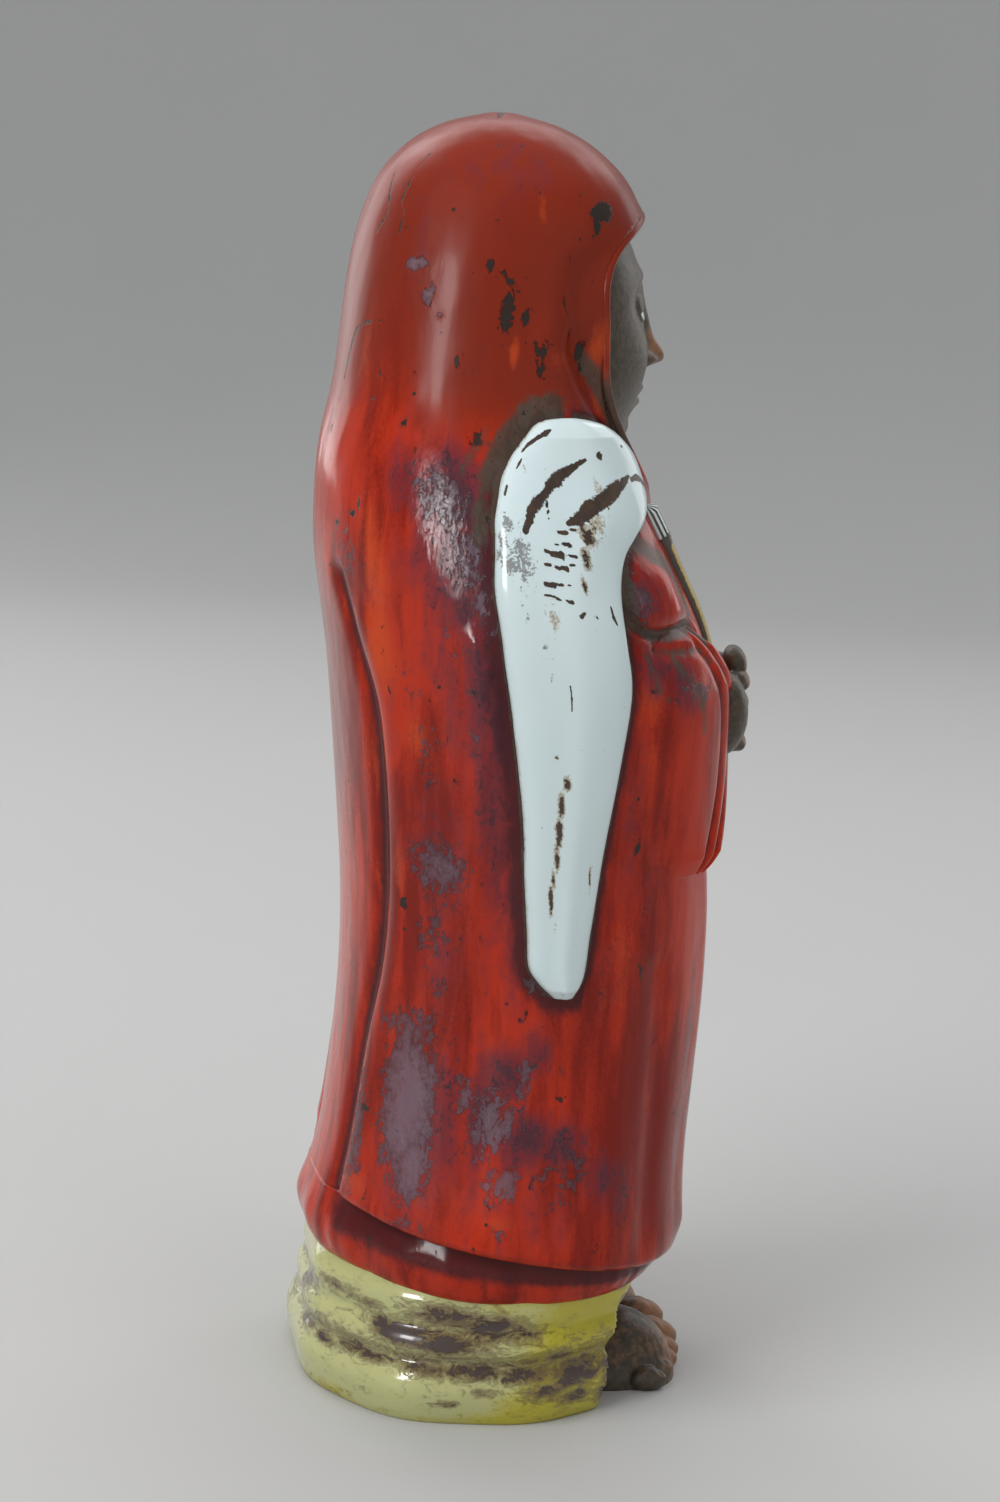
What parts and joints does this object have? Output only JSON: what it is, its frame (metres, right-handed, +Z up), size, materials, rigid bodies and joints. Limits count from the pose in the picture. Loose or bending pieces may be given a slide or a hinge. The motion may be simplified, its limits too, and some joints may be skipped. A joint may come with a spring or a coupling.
{
  "type": "daruma figure",
  "caption": "Standing hooded monk figure of glazed pottery, pressed hollow in one piece, open underneath, holding a long whisk.",
  "frame": {"origin": "middle of the outline in plan, on the surface that the figure stands on", "axes": "+Z up along the figure, which faces -Y; its right hand side is at -X"},
  "size_m": [0.1258, 0.1156, 0.3326],
  "materials": {
    "robe_glaze": "glossy red glaze, worn to purple grey in places",
    "skirt_glaze": "glossy yellow glaze, brown in its hollows",
    "whisk_glaze": "glossy bluish white glaze with crawled brown marks",
    "skin_glaze": "satin olive brown"
  },
  "bodies": {
    "root": {"figure": "robe_glaze"}
  },
  "joints": []
}
